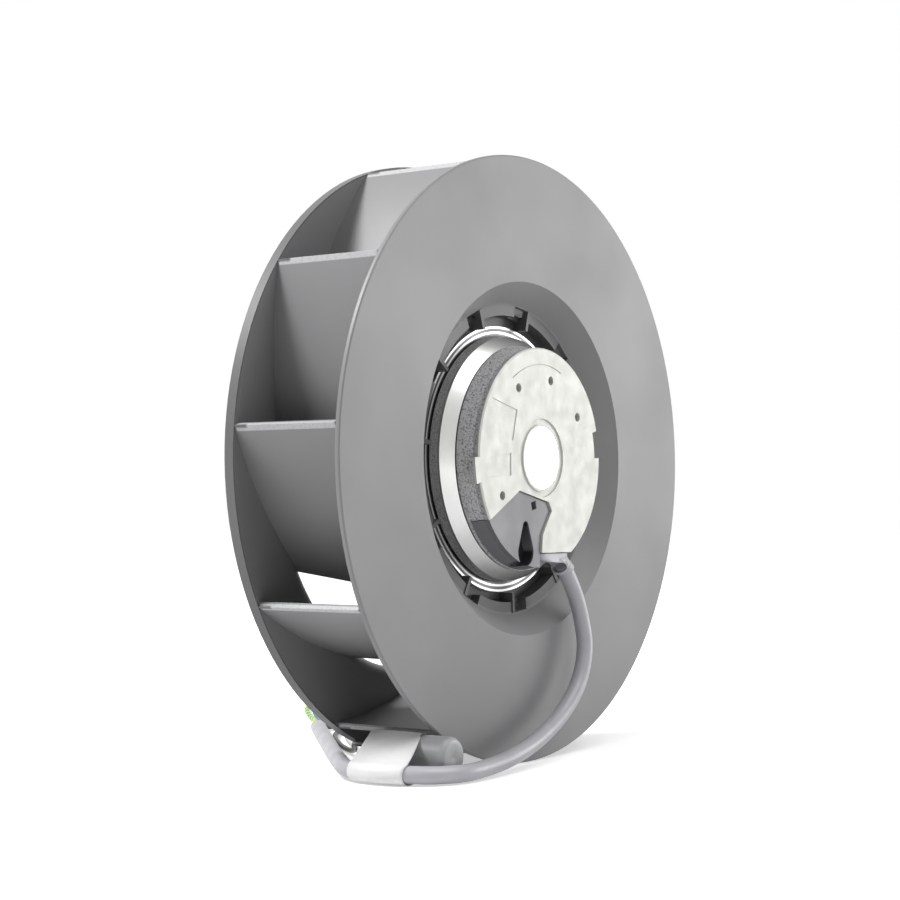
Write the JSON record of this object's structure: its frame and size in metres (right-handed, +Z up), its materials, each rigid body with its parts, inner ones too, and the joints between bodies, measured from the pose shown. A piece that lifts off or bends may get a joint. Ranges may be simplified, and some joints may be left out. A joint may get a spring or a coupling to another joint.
{
  "type": "centrifugal fan",
  "caption": "Centrifugal fan: backward curved plastic impeller on an external rotor motor, with mounting flange, cable and capacitor.",
  "frame": {"origin": "centre of the motor's mounting face, on the fan axis", "axes": "-Y points out of the mounting face, +Y along the fan axis to the inlet, +Z up as it stands"},
  "size_m": [0.2481, 0.2225, 0.22],
  "materials": {
    "impeller_plastic": "moulded grey, satin",
    "cast_aluminium": "die cast, matt grain",
    "cage_aluminium": "die cast, turned shoulder",
    "can_steel": "drawn, zinc plated",
    "core_steel": "stamped laminations",
    "cap_steel": "polished",
    "bearing_steel": "ground",
    "cage_steel": "pressed",
    "spring_steel": "blackened",
    "copper_wire": "enamelled winding wire",
    "slot_insulation": "moulded",
    "protector_black": "gloss",
    "cover_plastic": "moulded, satin",
    "cable_grey": "soft, satin",
    "capacitor_grey": "satin",
    "band_white": "coated",
    "wire_earth": "green with a yellow stripe",
    "wire_blue": "light blue",
    "wire_brown": "brown",
    "wire_black": "black",
    "wire_white": "white",
    "ferrule_grey": "moulded",
    "ferrule_tin": "tinned"
  },
  "bodies": {
    "stator": {"stator_flange": "cast_aluminium", "bearing_cap": "cap_steel", "terminal_cover": "cover_plastic", "cable_grommet": "cable_grey", "stator_core": "core_steel", "front_slot_insulator": "slot_insulation", "rear_slot_insulator": "slot_insulation", "main_winding": "copper_wire", "start_winding": "copper_wire", "thermal_protector": "protector_black", "wave_washer": "spring_steel", "front_bearing_outer_ring": "bearing_steel", "rear_bearing_outer_ring": "bearing_steel", "capacitor": "capacitor_grey", "label_band": "band_white", "cable_sheath": "cable_grey", "earth_conductor": "wire_earth", "neutral_conductor": "wire_blue", "brown_conductor": "wire_brown", "black_conductor": "wire_black", "white_capacitor_lead": "wire_white", "black_capacitor_lead": "wire_black", "ferrule_collars": "ferrule_grey", "ferrule_pins": "ferrule_tin"},
    "rotor": {"impeller_back_plate": "impeller_plastic", "impeller_blades": "impeller_plastic", "inlet_shroud": "impeller_plastic", "rotor_can": "can_steel", "rotor_core": "core_steel", "rotor_cage": "cage_aluminium", "retaining_ring": "spring_steel", "shaft": "bearing_steel", "shaft_circlip": "spring_steel", "front_bearing_inner_ring": "bearing_steel", "rear_bearing_inner_ring": "bearing_steel"},
    "front_bearing_train": {"front_bearing_balls": "bearing_steel", "front_bearing_cage": "cage_steel"},
    "rear_bearing_train": {"rear_bearing_balls": "bearing_steel", "rear_bearing_cage": "cage_steel"}
  },
  "joints": [
    {"name": "rotor_spin", "type": "hinge", "parent": "stator", "child": "rotor", "pos_m": [0, 0.03, 0], "axis": [0, 1, 0], "continuous": true},
    {"name": "front_train_spin", "type": "hinge", "parent": "stator", "child": "front_bearing_train", "pos_m": [0, 0.0115, 0], "axis": [0, 1, 0], "continuous": true},
    {"name": "rear_train_spin", "type": "hinge", "parent": "stator", "child": "rear_bearing_train", "pos_m": [0, 0.0465, 0], "axis": [0, 1, 0], "continuous": true}
  ],
  "couplings": [
    {"joint": "front_train_spin", "follows": "rotor_spin", "ratio": 0.3677},
    {"joint": "rear_train_spin", "follows": "rotor_spin", "ratio": 0.3677}
  ]
}
